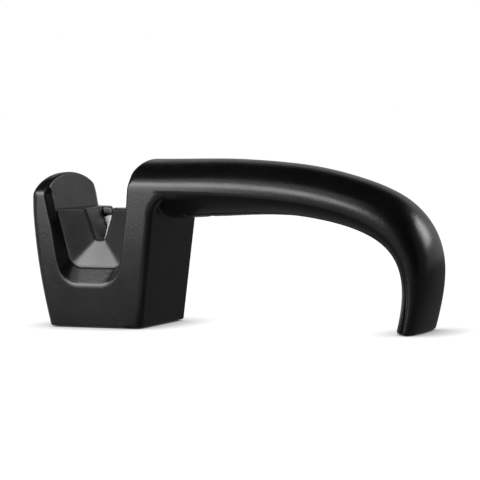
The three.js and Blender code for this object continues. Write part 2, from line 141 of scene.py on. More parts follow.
def head_field(x, y, z):
    """Distance to the head: leaning sides under an arched top."""
    ends = np.maximum(head_left(z) - x, np.minimum(x - head_right(z), corner_web(x, y, z)))
    spring = np.where(x < head_x, ear_spring, head_height)
    half = head_side(spring)
    crown = ear_top - spring + ear_fall * np.minimum(x - notch_left(head_height), 0)
    above = np.maximum(z - spring, 0)
    arch = np.where(above > 0, oval_field(np.abs(y), half, above, crown, ear_power), np.abs(y) - half)
    right_corner = np.where(y > 0, head_corner_rear, head_corner)
    left_corner = mix(head_corner, ear_round, ease(z, ear_round_start, ear_round_end))
    corner = np.where(x > head_x, right_corner, left_corner)
    side = head_side(z) - flank_draw * np.maximum(x - head_right(head_height), 0)
    return rounded(ends, np.maximum(np.abs(y) - side, arch), corner)


fold_y = head_side(notch_floor - mouth_drop) - mouth_depth


def notch_field(x, y, z):
    """Distance to the notch: a trough along Y whose mouth opens out, less towards the ear's top."""
    opened = np.maximum(np.abs(y) - fold_y, 0) / mouth_depth
    narrowed = narrow_share * ease(z, *narrow_low) + (1 - narrow_share) * ease(z, *narrow_high)
    ear_fold = mix(fold_y, head_side(z), np.where(y < 0, narrowed, narrow_rear))
    ear_opened = np.maximum(np.abs(y) - ear_fold, 0) / mouth_depth
    flare = mix(mouth_flare_left, mouth_flare_ear, ease(z, notch_floor, notch_bend))
    left = notch_left(z) - flare * ear_opened
    right = notch_right(z) + mouth_flare_right * opened
    sides = np.maximum(left - x, x - right)
    lip_corner = np.where(x < head_x, notch_lip_corner, notch_lip_corner_right)
    corner = mix(notch_corner, lip_corner, np.minimum(opened, 1))
    return rounded(sides, notch_floor - mouth_drop * opened - z, corner)


# The spine of the handle runs level out of the head, then turns down to the table
root_x = notch_right(head_height) - spine_overshoot
end_x = head_x + head_length / 2 + handle_reach
spine_ends = np.array([
    (root_x, head_height),
    (root_x + handle_run, head_height),
    (end_x + handle_end_lean * handle_turn, handle_turn),
    (end_x - handle_end_lean * spine_overshoot, -spine_overshoot),
])
spine_steps = 400
spine_t = np.linspace(0, 1, spine_steps + 1)[:, None]
spine_pulls = np.hstack([
    (1 - spine_t) ** 3, 3 * spine_t * (1 - spine_t) ** 2, 3 * spine_t ** 2 * (1 - spine_t), spine_t ** 3,
])
spine = spine_pulls @ spine_ends
spine_run = np.gradient(spine, axis=0) * spine_steps
spine_along = spine_run / np.linalg.norm(spine_run, axis=1, keepdims=True)
leaves_head = spine_t[np.argmax(spine[:, 0] >= head_right(head_height)), 0]


# Stretches of the spine, from 0 at its start to 1 at its end, over which the handle's section changes
swell_starts, swell_ends, rise_falls = (0.04, 0.18), (0.28, 0.45), (0.53, 1)
belly_thins, belly_fills, arch_fills = (0.02, 0.32), (0.1, 0.3), (0.45, 0.8)
cover_thickens, cover_widens, joint_widens = (0.55, 0.95), (0.42, 0.74), (0.6, 0.85)


def handle_half(t):
    beyond = np.maximum(t - leaves_head, 0) / (1 - leaves_head)
    return mix(handle_half_end, head_side(head_height), (1 - beyond) ** 2)


def handle_rise_at(t):
    swell = handle_swell * (ease(t, *swell_starts) - ease(t, *swell_ends))
    return mix(handle_rise, handle_rise_end, ease(t, *rise_falls)) + swell


def handle_belly_at(t):
    return mix(handle_belly, handle_belly_end, ease(t, *belly_thins))


def cover_joint(t):
    return mix(cover_thickness, cover_thickness_end, ease(t, *cover_thickens)) - handle_belly_at(t)


def on_spine(x, z):
    """How far along the spine each point of a grid in X and Z lies, and its height above it."""
    t, height = np.empty((2, x.size, z.size))
    for row, at in enumerate(x.ravel()):
        away = np.stack([np.full(z.size, at), z.ravel()], axis=1)
        near = ((away[:, None] - spine) ** 2).sum(axis=2).argmin(axis=1)
        away = away - spine[near]
        along = spine_along[near]
        speed = np.linalg.norm(spine_run[near], axis=1)
        t[row] = np.clip(spine_t[near, 0] + (away * along).sum(axis=1) / speed, 0, 1)
        height[row] = away[:, 1] * along[:, 0] - away[:, 0] * along[:, 1]
    return t[:, None, :], height[:, None, :]


def handle_field(y, t, height):
    """Distance to the handle: an arch above the spine and a belly below it."""
    upper = height > 0
    belly = mix(belly_power_root, belly_power, ease(t, *belly_fills))
    power = np.where(upper, mix(arch_power, arch_power_end, ease(t, *arch_fills)), belly)
    tall = np.where(upper, handle_rise_at(t), handle_belly_at(t))
    return oval_field(np.abs(y), handle_half(t), np.abs(height), tall, power)


def cover_zone(x, y, t, height, gap):
    """Distance to the cover's room: a channel in the belly that widens to the whole width."""
    start = head_right(head_height) + cover_setback
    gap = gap * mix(1, joint_widening, ease(t, *joint_widens))
    half = mix(cover_half, handle_half(t) + spine_overshoot, ease(t, *cover_widens))
    channel = np.maximum(height - cover_joint(t), np.abs(y) - half)
    return np.maximum(channel, start - x) + gap


def softened(values, cells, times):
    """A field averaged over a few cells each way, some times over, which rounds its edges."""
    for axis in (0, 1, 2) * times:
        pad = [(cells + 1, cells) if axis == each else (0, 0) for each in range(3)]
        sums = np.cumsum(np.pad(values, pad, mode="reflect", reflect_type="odd"), axis=axis)
        width = 2 * cells + 1
        count = sums.shape[axis]
        values = (sums.take(range(width, count), axis) - sums.take(range(count - width), axis)) / width
    return values


def sampled(values, spots):
    """The field between its grid points."""
    base = np.clip(np.floor(spots).astype(int), 0, np.array(values.shape) - 2)
    part = spots - base
    total = np.zeros(len(spots))
    for corner in np.ndindex(2, 2, 2):
        weight = np.prod(np.where(corner, part, 1 - part), axis=1)
        total += weight * values[tuple((base + corner).T)]
    return total


def slopes(values, spots):
    """The direction in which the field grows."""
    steps = np.eye(3) * 0.5
    gains = [sampled(values, spots + step) - sampled(values, spots - step) for step in steps]
    return np.stack(gains, axis=1)


def skin(values):
    """Points and four-sided faces of the skin where a field of distances changes its sign."""
    inside = values < 0
    shape = np.array(values.shape)
    filled = np.zeros(shape - 1, int)
    for i, j, k in np.ndindex(2, 2, 2):
        filled += inside[i:shape[0] - 1 + i, j:shape[1] - 1 + j, k:shape[2] - 1 + k]
    cells = np.argwhere((filled > 0) & (filled < 8))
    number = np.full(shape - 1, -1)
    number[tuple(cells.T)] = np.arange(len(cells))
    total, count = np.zeros((len(cells), 3)), np.zeros((len(cells), 1))
    faces = []
    for axis in range(3):
        for corner in np.ndindex(2, 2):
            start = cells + np.insert(corner, axis, 0)
            end = start + np.eye(3, dtype=int)[axis]
            near, far = values[tuple(start.T)], values[tuple(end.T)]
            crossed = (near < 0) != (far < 0)
            part = near / np.where(crossed, near - far, 1)
            total += np.where(crossed[:, None], start + part[:, None] * np.eye(3)[axis], 0)
            count += crossed[:, None]
        near = inside.take(range(shape[axis] - 1), axis)
        edges = np.argwhere(near != inside.take(range(1, shape[axis]), axis))
        u, v = (axis + 1) % 3, (axis + 2) % 3
        kept = (edges[:, [u, v]] > 0).all(axis=1) & (edges[:, [u, v]] < shape[[u, v]] - 1).all(axis=1)
        edges = edges[kept]
        step_u, step_v = np.eye(3, dtype=int)[[u, v]]
        ring = [edges - step_u - step_v, edges - step_v, edges, edges - step_u]
        quads = np.stack([number[tuple(each.T)] for each in ring], axis=1)
        outward = near[tuple(edges.T)]
        faces.append(np.where(outward[:, None], quads, quads[:, ::-1]))
    return total / count, np.concatenate(faces)


def placed(name, data):
    """A new object in the scene for a mesh, a lamp or a camera."""
    piece = bpy.data.objects.new(name, data)
    bpy.context.scene.collection.objects.link(piece)
    return piece


def moulded(name, low, high, step, field, softenings):
    """A moulded piece: its field of distances on a grid, its edges softened, then skinned."""
    margin = 4 * step
    start = np.array(low) - margin
    count = np.ceil((np.array(high) + margin - start) / step).astype(int) + 1
    x, y, z = (start[axis] + step * np.arange(count[axis]) for axis in range(3))
    x, y, z = x[:, None, None], y[None, :, None], z[None, None, :]
    values = softened(field(x, y, z), 1, softenings)
    spots, faces = skin(values)
    for _ in range(3):
        slope = slopes(values, spots)
        steepness = np.maximum((slope ** 2).sum(axis=1, keepdims=True), (0.2 * step) ** 2)
        spots = spots - np.clip(sampled(values, spots)[:, None] * slope / steepness, -0.4, 0.4)
    slope = slopes(values, spots)
    # Height of the softened field at the skin: high on convex edges, where the plastics paint a
    # highlight.
    edge = sampled(softened(values, 1, 3), spots) / step
    mesh = bpy.data.meshes.new(name)
    mesh.from_pydata((start + step * spots).tolist(), [], faces.tolist())
    mesh.polygons.foreach_set("use_smooth", [True] * len(faces))
    mesh.attributes.new("edge", "FLOAT", "POINT").data.foreach_set("value", edge.astype(np.float32))
    normals = slope / np.linalg.norm(slope, axis=1, keepdims=True)
    mesh.normals_split_custom_set_from_vertices(normals.tolist())
    return placed(name, mesh)


def plate_pocket(x, y, z):
    """Distance to the pocket below the head that takes the base plate."""
    half = plate_half + fit_gap
    walls = rounded(np.abs(x - head_x) - half, np.abs(y) - half, plate_corner)
    return np.maximum(walls, z - plate_top - fit_gap)


def foot_recess(tube, z):
    """Distance to the recess in the handle's end that takes its rubber foot."""
    return np.maximum(tube + foot_inset - fit_gap, z - foot_deep)


def housing_field(x, y, z):
    t, height = on_spine(x, z)
    tube = np.maximum(handle_field(y, t, height), root_x - x)
    handle = np.maximum(tube, -cover_zone(x, y, t, height, -joint_gap))
    body = np.minimum(head_field(x, y, z), np.maximum(handle, -foot_recess(tube, z)))
    end_round = column_round * ease(z, column_round_start, column_round_end) * (x > head_x)
    body = rounded(body, -notch_field(x, y, z), end_round)
    return np.maximum(np.maximum(body, foot_proud - z), -plate_pocket(x, y, z))


housing = moulded("housing_shell", *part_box("housing"), housing_grid, housing_field, 1)


def grain_group():
    """Shared skin of the moulded plastics: sandblast grain, slow mottle, and a patchy mask of convex
    edges that carries a painted highlight.
    """
    group = bpy.data.node_groups.new("moulded grain", "ShaderNodeTree")
    sockets = group.interface
    sockets.new_socket("Grain Scale", in_out="INPUT", socket_type="NodeSocketFloat")
    sockets.new_socket("Mottle Scale", in_out="INPUT", socket_type="NodeSocketFloat")
    for output in ("Height", "Mottle", "Edge Highlight"):
        sockets.new_socket(output, in_out="OUTPUT", socket_type="NodeSocketFloat")
    nodes, links = group.nodes, group.links
    given, result = nodes.new("NodeGroupInput"), nodes.new("NodeGroupOutput")
    place = nodes.new("ShaderNodeTexCoord")
    grain, mottle = nodes.new("ShaderNodeTexNoise"), nodes.new("ShaderNodeTexNoise")
    grain.inputs["Detail"].default_value = 2
    grain.inputs["Roughness"].default_value = 0.6
    mottle.inputs["Detail"].default_value = 4
    edge = nodes.new("ShaderNodeAttribute")
    edge.attribute_name = "edge"
    # Painted highlight: where the softened field stands above the skin, on convex edges, the colour turns
    # lighter.
    edge_highlight_mask = nodes.new("ShaderNodeMapRange")
    edge_highlight_mask.interpolation_type = "SMOOTHSTEP"
    edge_highlight_mask.inputs["From Min"].default_value = 0.02
    edge_highlight_mask.inputs["From Max"].default_value = 0.2
    patchy_highlight = nodes.new("ShaderNodeMath")
    patchy_highlight.operation = "MULTIPLY"
    for texture, scale in ((grain, "Grain Scale"), (mottle, "Mottle Scale")):
        links.new(place.outputs["Object"], texture.inputs["Vector"])
        links.new(given.outputs[scale], texture.inputs["Scale"])
    links.new(edge.outputs["Fac"], edge_highlight_mask.inputs["Value"])
    links.new(edge_highlight_mask.outputs["Result"], patchy_highlight.inputs[0])
    links.new(mottle.outputs["Fac"], patchy_highlight.inputs[1])
    links.new(grain.outputs["Fac"], result.inputs["Height"])
    links.new(mottle.outputs["Fac"], result.inputs["Mottle"])
    links.new(patchy_highlight.outputs["Value"], result.inputs["Edge Highlight"])
    return group


moulded_grain = grain_group()


def ramp(tree, source, start, end, low=0.3, high=0.7):
    """A value of the surface spread between two numbers."""
    node = tree.nodes.new("ShaderNodeMapRange")
    node.inputs["From Min"].default_value = low
    node.inputs["From Max"].default_value = high
    node.inputs["To Min"].default_value = start
    node.inputs["To Max"].default_value = end
    tree.links.new(source, node.inputs["Value"])
    return node.outputs["Result"]


def tint(tree, mask, first, second):
    """Two colours mixed by a mask."""
    node = tree.nodes.new("ShaderNodeMix")
    node.data_type = "RGBA"
    node.inputs["A"].default_value = (*first, 1)
    node.inputs["B"].default_value = (*second, 1)
    tree.links.new(mask, node.inputs["Factor"])
    return node.outputs["Result"]


def bumped(tree, height, depth, strength):
    """Fine relief of a given depth."""
    node = tree.nodes.new("ShaderNodeBump")
    node.inputs["Strength"].default_value = strength
    node.inputs["Distance"].default_value = depth
    tree.links.new(height, node.inputs["Height"])
    return node.outputs["Normal"]


def finish(name):
    """A new material, its node tree and its shader."""
    material = bpy.data.materials.new(name)
    material.use_nodes = True
    tree = material.node_tree
    return material, tree, tree.nodes["Principled BSDF"]


def grained(tree, grain, mottle):
    """The shared skin, placed in a material with its own sizes."""
    skin_nodes = tree.nodes.new("ShaderNodeGroup")
    skin_nodes.node_tree = moulded_grain
    skin_nodes.inputs["Grain Scale"].default_value = 1 / grain
    skin_nodes.inputs["Mottle Scale"].default_value = 1 / mottle
    return skin_nodes.outputs


plastic_mottle, plastic_relief = 14 * MM, 0.6


def black_plastic(name, grain, depth, dark, edge_highlight_colour, rough):
    """Moulded black plastic: grain, a slow change of gloss, and a painted highlight: a lighter colour in
    patches along convex edges.
    """
    material, tree, shader = finish(name)
    surface = grained(tree, grain, plastic_mottle)
    # Convex edges get the lighter colour in patches: a painted highlight.
    tree.links.new(tint(tree, surface["Edge Highlight"], dark, edge_highlight_colour), shader.inputs["Base Color"])
    tree.links.new(ramp(tree, surface["Mottle"], *rough), shader.inputs["Roughness"])
    tree.links.new(bumped(tree, surface["Height"], depth, plastic_relief), shader.inputs["Normal"])
    return material


# The lighter colour is a painted highlight along the shell's convex edges.
shell_plastic = black_plastic(
    "shell plastic", grain=1.2 * MM, depth=0.08 * MM,
    dark=(0.0045, 0.0046, 0.0049), edge_highlight_colour=(0.011, 0.0112, 0.0118), rough=(0.22, 0.3),
)


def fitted(piece, body, slot, material, *nodes):
    """Gives a piece its finish and fixes it to a body in place of its plain solids."""
    piece.data.materials.clear()
    piece.data.materials.append(material)
    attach(piece, body)
    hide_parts(*nodes)


fitted(housing, "root", "shell", shell_plastic, "housing")

# Handle cover: a strip of smooth black plastic that closes the hollow underside of the handle.
# It is let into the shell with a fine joint all round and held by two screws from below.
screw_head_radius, screw_head_height = 2.8 * MM, 1.8 * MM


def near_spine(x):
    """The spine's place, its outward direction and t where it passes an X."""
    index = int(np.argmax(spine[:, 0] >= x))
    (at_x, at_z), (along_x, along_z) = spine[index], spine_along[index]
    return spine_t[index, 0], Vector((at_x, 0, at_z)), Vector((-along_z, 0, along_x))


def bore_field(x, y, z, at, axis, radius):
    """Distance to a round hole along an axis."""
    along = (x - at.x) * axis.x + (y - at.y) * axis.y + (z - at.z) * axis.z
    squared = (x - at.x) ** 2 + (y - at.y) ** 2 + (z - at.z) ** 2 - along ** 2
    return np.sqrt(np.maximum(squared, 0)) - radius, along


cover_grip, cover_grid, cover_screw_reaches = 1.8 * MM, 0.6 * MM, (20 * MM, 62 * MM)
cover_screw_places = []
for reach in cover_screw_reaches:
    screw_t, screw_spine, screw_way = near_spine(head_right(head_height) + reach)
    cover_screw_places.append((screw_spine + screw_way * (cover_joint(screw_t) - cover_grip), screw_way))


def cover_field(x, y, z):
    t, height = on_spine(x, z)
    tube = handle_field(y, t, height)
    strip = np.maximum(np.maximum(tube, cover_zone(x, y, t, height, joint_gap)), foot_proud - z)
    strip = np.maximum(strip, -foot_recess(tube, z))
    for at, way in cover_screw_places:
        hole, along = bore_field(x, y, z, at, way, screw_head_radius + fit_gap)
        strip = np.maximum(strip, -np.maximum(hole, along))
    return strip


cover = moulded("handle_cover_strip", *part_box("handle_cover"), cover_grid, cover_field, 1)
# The lighter colour is a painted highlight along the cover's convex edges.
cover_plastic = black_plastic(
    "cover plastic", grain=0.8 * MM, depth=0.02 * MM,
    dark=(0.0045, 0.0046, 0.0049), edge_highlight_colour=(0.01, 0.0102, 0.0108), rough=(0.26, 0.34),
)
fitted(cover, "root", "cover", cover_plastic, "handle_cover")

# Guide: a block in the notch, parted into a front and a rear half, of black plastic smoother than
# the shell. A V slot leads the blade down to the rods and opens into a funnel at both faces.
# Each half has a hood over the head of its rod and is held by a screw from below the notch.
guide_top, guide_edge, slot_floor = 54.95 * MM, 0.9 * MM, 40.2 * MM
slot_shift, slot_floor_shift = 0.676 * MM, 0.5 * MM
slot_top_width, slot_floor_width = 14.5 * MM, 4.2 * MM
slot_half_depth, slot_corner = 14 * MM, 0.8 * MM
hood_gap, hood_start, hood_taper, hood_lean = 1.3 * MM, 2.6 * MM, 0.45, 0.16
hood_height, hood_depth, hood_root = 3.6 * MM, 10 * MM, 2 * MM
hood_round, hood_edge = 1.5 * MM, 0.4 * MM
guide_seat, guide_rim, guide_parting, guide_grid = 0.9 * MM, 0.05 * MM, -0.1 * MM, 0.36 * MM
slot_x = (notch_left(guide_top) + notch_right(guide_top)) / 2 + slot_shift
slot_slope = (slot_top_width - slot_floor_width) / 2 / (guide_top - slot_floor)
funnel_top = guide_top + spine_overshoot
rod_radius, rod_offset, rod_cross = 3 * MM, 5 * MM, 35.2 * MM
rod_tilt = math.radians(16.2)
guide_sides = {"front": -1, "rear": 1}


def rod_axis(side):
    return Vector((-side * math.sin(rod_tilt), 0, math.cos(rod_tilt)))


def rod_foot(side):
    return Vector((slot_x, side * rod_offset, rod_cross))


def slot_field(x, y, z):
    """Distance to the V slot with its funnels."""
    opened = np.maximum(np.abs(y) - slot_half_depth, 0) / (fold_y - slot_half_depth)
    floor = mix(slot_floor, notch_floor + guide_rim, opened)
    rise = (z - floor) / (funnel_top - floor)
    throat_top = slot_floor_width / 2 + slot_slope * (funnel_top - slot_floor)
    half, wall_z = mix(slot_floor_width / 2, throat_top, rise), mix(notch_floor, funnel_top, rise)
    middle = slot_x + slot_floor_shift * (1 - rise)
    left = mix(middle - half, notch_left(wall_z) + guide_rim, opened)
    right = mix(middle + half, notch_right(wall_z) - guide_rim, opened)
    sides = np.maximum(left - x, x - right)
    return rounded(sides, floor - z, mix(slot_corner, notch_corner / 2, np.minimum(opened, 1) ** 2))


def hood_field(x, y, z, side):
    """Distance to the hood: it reaches from one wall of the slot almost to its middle."""
    tip, depth = (x - slot_x) * -side, y * side - hood_start
    nose = np.maximum(hood_gap + hood_taper * depth - tip, tip - slot_top_width / 2 - hood_root)
    cap = np.maximum(rounded(nose, z - guide_top, hood_round), guide_top - hood_height - z)
    deep = np.maximum(hood_lean * (z - guide_top + hood_height) - depth, depth + hood_start - hood_depth)
    return rounded(cap, deep, hood_edge)


def guide_half(name, side):
    """One half of the guide: bedded in the notch, cut by the slot and bored for its rod."""
    def field(x, y, z):
        trough = notch_field(x, y, z) - guide_seat
        block = rounded(z - guide_top, -slot_field(x, y, z), guide_edge)
        block = np.maximum(block, np.abs(y) - fold_y - guide_seat)
        body = np.minimum(block, hood_field(x, y, z, side))
        body = np.maximum(body, trough)
        body = np.maximum(body, guide_parting - y * side)
        socket, _ = bore_field(x, y, z, rod_foot(side), rod_axis(side), rod_radius + fit_gap)
        return np.maximum(body, -np.maximum(socket, z - guide_top + hood_height))
    return moulded(f"guide_half_{name}", *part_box(f"guide_{name}"), guide_grid, field, 1)


# The lighter colour is a painted highlight along the guide's convex edges.
guide_plastic = black_plastic(
    "guide plastic", grain=0.5 * MM, depth=0.02 * MM,
    dark=(0.014, 0.0142, 0.0148), edge_highlight_colour=(0.024, 0.0244, 0.0252), rough=(0.26, 0.34),
)
for half_name, half_side in guide_sides.items():
    fitted(guide_half(half_name, half_side), "root", "guide", guide_plastic, f"guide_{half_name}")

# Ceramic rods: ground off-white ceramic, 6 mm thick with a domed head. One stands in each half of
# the guide, and the two lean across each other over the slot. Each can turn in its socket.
rod_dome, rod_chamfer, rod_bottom, rod_top = 1.5 * MM, 0.5 * MM, 28.3 * MM, 50.9 * MM
rod_low = (rod_bottom - rod_cross) / math.cos(rod_tilt) + rod_radius * math.tan(rod_tilt)
rod_high = (rod_top - rod_cross) / math.cos(rod_tilt)
round_sides = 48
upward = Vector((0, 0, 1))


def stood(at, way):
    """The move that stands an upright piece at a place along a direction."""
    return Matrix.Translation(at) @ upward.rotation_difference(way).to_matrix().to_4x4()


def turned(name, profile, sides, at, way):
    """A turned piece from points of radius and height, stood at a place along a direction."""
    mesh = bpy.data.meshes.new(name)
    ring = np.linspace(0, 2 * math.pi, sides, endpoint=False)
    inner = profile[1:-1]
    points = [(0, 0, profile[0][1]), (0, 0, profile[-1][1])]
    points += [(r * math.cos(a), r * math.sin(a), h) for r, h in inner for a in ring]
    faces = []
    for side in range(sides):
        after = (side + 1) % sides
        last = 2 + (len(inner) - 1) * sides
        faces.append((0, 2 + after, 2 + side))
        faces.append((1, last + side, last + after))
        for row in range(len(inner) - 1):
            near = 2 + row * sides
            faces.append((near + side, near + after, near + sides + after, near + sides + side))
    mesh.from_pydata(points, [], faces)
    mesh.polygons.foreach_set("use_smooth", [True] * len(faces))
    mesh.transform(stood(at, way))
    return placed(name, mesh)


def arc(radius, drop, at, start, end, steps):
    """Points of an elliptic round: radius and height about a centre."""
    turns = np.linspace(math.radians(start), math.radians(end), steps)
    return [(at[0] + radius * math.cos(a), at[1] + drop * math.sin(a)) for a in turns]


def ceramic():
    """Ground ceramic: off-white clouds and fine grinding lines along the rod."""
    material, tree, shader = finish("ground ceramic")
    place = tree.nodes.new("ShaderNodeTexCoord")
    stretch = tree.nodes.new("ShaderNodeMapping")
    stretch.inputs["Scale"].default_value = (1, 1, 6)
    lines, cloud = tree.nodes.new("ShaderNodeTexNoise"), tree.nodes.new("ShaderNodeTexNoise")
    lines.inputs["Scale"].default_value = 1 / (0.9 * MM)
    lines.inputs["Detail"].default_value = 3
    cloud.inputs["Scale"].default_value = 1 / (4 * MM)
    tree.links.new(place.outputs["Object"], stretch.inputs["Vector"])
    tree.links.new(stretch.outputs["Vector"], lines.inputs["Vector"])
    tree.links.new(place.outputs["Object"], cloud.inputs["Vector"])
    off_white = tint(tree, cloud.outputs["Fac"], (0.8, 0.79, 0.76), (0.9, 0.89, 0.86))
    tree.links.new(off_white, shader.inputs["Base Color"])
    tree.links.new(ramp(tree, lines.outputs["Fac"], 0.3, 0.45), shader.inputs["Roughness"])
    tree.links.new(bumped(tree, lines.outputs["Fac"], 0.02 * MM, 0.5), shader.inputs["Normal"])
    return material


ground_ceramic = ceramic()
rod_edge = (rod_radius - rod_chamfer, rod_low + rod_chamfer)
rod_profile = [(0, rod_low), (rod_radius - rod_chamfer, rod_low)]
rod_profile += arc(rod_chamfer, rod_chamfer, rod_edge, -80, 0, 5)
rod_profile += [(rod_radius, mix(rod_low, rod_high - rod_dome, part)) for part in (0.3, 0.6, 0.9)]
rod_profile += arc(rod_radius, rod_dome, (0, rod_high - rod_dome), 0, 85, 10) + [(0, rod_high)]
for rod_name, rod_side in guide_sides.items():
    rod = turned(f"rod_{rod_name}", rod_profile, round_sides, rod_foot(rod_side), rod_axis(rod_side))
    fitted(rod, f"rod_{rod_name}", "ceramic", ground_ceramic, f"ceramic_rod_{rod_name}")

# Base plate: a flat plate of smooth black plastic let into the bottom of the head. It has round
# seats for four rubber feet and sunk holes for four screws into the head's bosses.
foot_radius, foot_sink, plate_grid = 5 * MM, 1.4 * MM, 0.4 * MM
foot_places = {name: sum(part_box(f"base_foot_{name}"), Vector()) / 2
               for name in ("front_left", "front_right", "rear_left", "rear_right")}
base_screw_places = {name: sum(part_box(f"base_screw_{name}"), Vector()) / 2
                     for name in ("left", "right", "front", "rear")}


def plate_field(x, y, z):
    walls = rounded(np.abs(x - head_x) - plate_half, np.abs(y) - plate_half, plate_corner)
    plate = np.maximum(walls, np.maximum(foot_proud - z, z - plate_top))
    for at in foot_places.values():
        seat = np.hypot(x - at.x, y - at.y) - foot_radius - fit_gap
        plate = np.maximum(plate, -np.maximum(seat, z - foot_proud - foot_sink))
    for at in base_screw_places.values():
        hole = np.hypot(x - at.x, y - at.y) - screw_head_radius - fit_gap
        plate = np.maximum(plate, -np.maximum(hole, z - foot_proud - screw_head_height - fit_gap))
    return plate


base_plate = moulded("base_plate_panel", plate_low, plate_high, plate_grid, plate_field, 1)
fitted(base_plate, "root", "cover", cover_plastic, "base_plate")

# Rubber feet: four discs of matt black rubber pressed into the base plate, and a flat pad let into
# the end of the handle. They stand half a millimetre proud and grip the table.
foot_height, foot_round = 1.7 * MM, 0.4 * MM
pad_gap, pad_edge, pad_grid = 0.2 * MM, 0.4 * MM, 0.35 * MM


def rubber():
    """Matt rubber: fine grain and a slow change of grey."""
    material, tree, shader = finish("matt rubber")
    surface = grained(tree, 0.3 * MM, 3 * MM)
    greys = tint(tree, surface["Mottle"], (0.008, 0.008, 0.0085), (0.02, 0.02, 0.0205))
    tree.links.new(greys, shader.inputs["Base Color"])
    tree.links.new(ramp(tree, surface["Mottle"], 0.75, 0.9), shader.inputs["Roughness"])
    tree.links.new(bumped(tree, surface["Height"], 0.04 * MM, 0.5), shader.inputs["Normal"])
    return material


matt_rubber = rubber()
foot_profile = [(0, 0.15 * MM), (2 * MM, 0.1 * MM), (3.4 * MM, 0)]
foot_profile += arc(foot_round, foot_round, (foot_radius - foot_round, foot_round), -85, 0, 5)
foot_profile += [(foot_radius, foot_height), (0, foot_height)]
for foot_name, foot_at in foot_places.items():
    foot_stand = Vector((foot_at.x, foot_at.y, 0))
    foot = turned(f"foot_{foot_name}", foot_profile, round_sides, foot_stand, upward)
    fitted(foot, "root", "rubber", matt_rubber, f"base_foot_{foot_name}")


def pad_field(x, y, z):
    t, height = on_spine(x, z)
    sides = handle_field(y, t, height) + foot_inset
    return rounded(sides, np.maximum(-z, z - foot_deep + pad_gap), pad_edge)


handle_pad = moulded("handle_foot_pad", *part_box("handle_foot"), pad_grid, pad_field, 0)
fitted(handle_pad, "root", "rubber", matt_rubber, "handle_foot")

# Screws: zinc-plated steel with round heads, a cross recess and a coarse thread. Four hold the base
# plate, two the handle cover and two the guide.
screw_radius, thread_pitch, thread_depth = 1.5 * MM, 1.1 * MM, 0.25 * MM
recess_width, recess_length, recess_depth = 0.9 * MM, 3.4 * MM, 1.1 * MM
screw_head_round, screw_bite, screw_point, screw_grid = 0.6 * MM, 6 * MM, 0.9, 0.2 * MM
screw_sink, guide_screw_out = 0.2 * MM, 12 * MM
base_screw_grip, cover_screw_grip, guide_screw_grip = 1.4 * MM, 2.1 * MM, 3.1 * MM


def zinc_steel():
    """Zinc plate: bright metal with a fine spangle."""
    material, tree, shader = finish("zinc steel")
    shader.inputs["Metallic"].default_value = 1
    place = tree.nodes.new("ShaderNodeTexCoord")
    spangle = tree.nodes.new("ShaderNodeTexNoise")
    spangle.inputs["Scale"].default_value = 1 / (0.5 * MM)
    spangle.inputs["Detail"].default_value = 4
    tree.links.new(place.outputs["Object"], spangle.inputs["Vector"])
    plated = tint(tree, spangle.outputs["Fac"], (0.4, 0.41, 0.42), (0.66, 0.67, 0.68))
    tree.links.new(plated, shader.inputs["Base Color"])
    tree.links.new(ramp(tree, spangle.outputs["Fac"], 0.28, 0.42), shader.inputs["Roughness"])
    tree.links.new(bumped(tree, spangle.outputs["Fac"], 0.01 * MM, 0.5), shader.inputs["Normal"])
    return material


zinc = zinc_steel()


def screw(name, node, at, way, grip):
    """A screw with the underside of its head at a place, driven along a direction."""
    tip = grip + screw_bite

    def field(x, y, z):
        out = np.hypot(x, y)
        head = rounded(out - screw_head_radius, np.maximum(-screw_head_height - z, z), screw_head_round)
        for long, short in ((x, y), (y, x)):
            arm = np.maximum(np.abs(long) - recess_length / 2, np.abs(short) - recess_width / 2)
            head = np.maximum(head, -np.maximum(arm, z + screw_head_height - recess_depth))
        turn = np.arctan2(y, x) / (2 * math.pi)
        wave = np.abs((z / thread_pitch - turn) % 1 - 0.5) * 2
        taper = np.minimum(screw_radius, (tip - z) * screw_point)
        shank = np.maximum(out - taper + thread_depth * wave * (z > grip), np.maximum(-z, z - tip))
        return np.minimum(head, shank)
    low = (-screw_head_radius, -screw_head_radius, -screw_head_height)
    high = (screw_head_radius, screw_head_radius, tip)
    piece = moulded(name, low, high, screw_grid, field, 0)
    piece.data.transform(stood(at, way))
    fitted(piece, "root", "screw_steel", zinc, node)


for screw_name, screw_at in base_screw_places.items():
    seat = Vector((screw_at.x, screw_at.y, foot_proud + screw_sink + screw_head_height))
    screw(f"screw_base_{screw_name}", f"base_screw_{screw_name}", seat, upward, base_screw_grip)
for screw_name, (screw_at, screw_way) in zip(("inner", "outer"), cover_screw_places):
    screw(f"screw_cover_{screw_name}", f"cover_screw_{screw_name}", screw_at, screw_way, cover_screw_grip)
for screw_name, screw_side in guide_sides.items():
    seat = Vector((slot_x, screw_side * guide_screw_out, notch_floor - wall - screw_sink))
    screw(f"screw_guide_{screw_name}", f"guide_screw_{screw_name}", seat, upward, guide_screw_grip)

# Studio: a white floor that keeps the object's shadow, with a painted contact shadow in its glow, a white
# surround, and grey cards that only gloss sees. Three soft lamps: a key at the front left, a low one near
# the head, a rim lamp behind.
# The camera stands to the right of the head's front, a little above the handle.
painted_shadow_reach, card_lift = 20 * MM, 0.2 * MM


def seen_plainly(tree):
    """A mask for rays from the camera, or by way of gloss or glass."""
    path = tree.nodes.new("ShaderNodeLightPath")
    total = path.outputs["Is Camera Ray"]
    for name in ("Is Glossy Ray", "Is Transmission Ray"):
        either = tree.nodes.new("ShaderNodeMath")
        either.operation = "MAXIMUM"
        tree.links.new(total, either.inputs[0])
        tree.links.new(path.outputs[name], either.inputs[1])
        total = either.outputs["Value"]
    return total


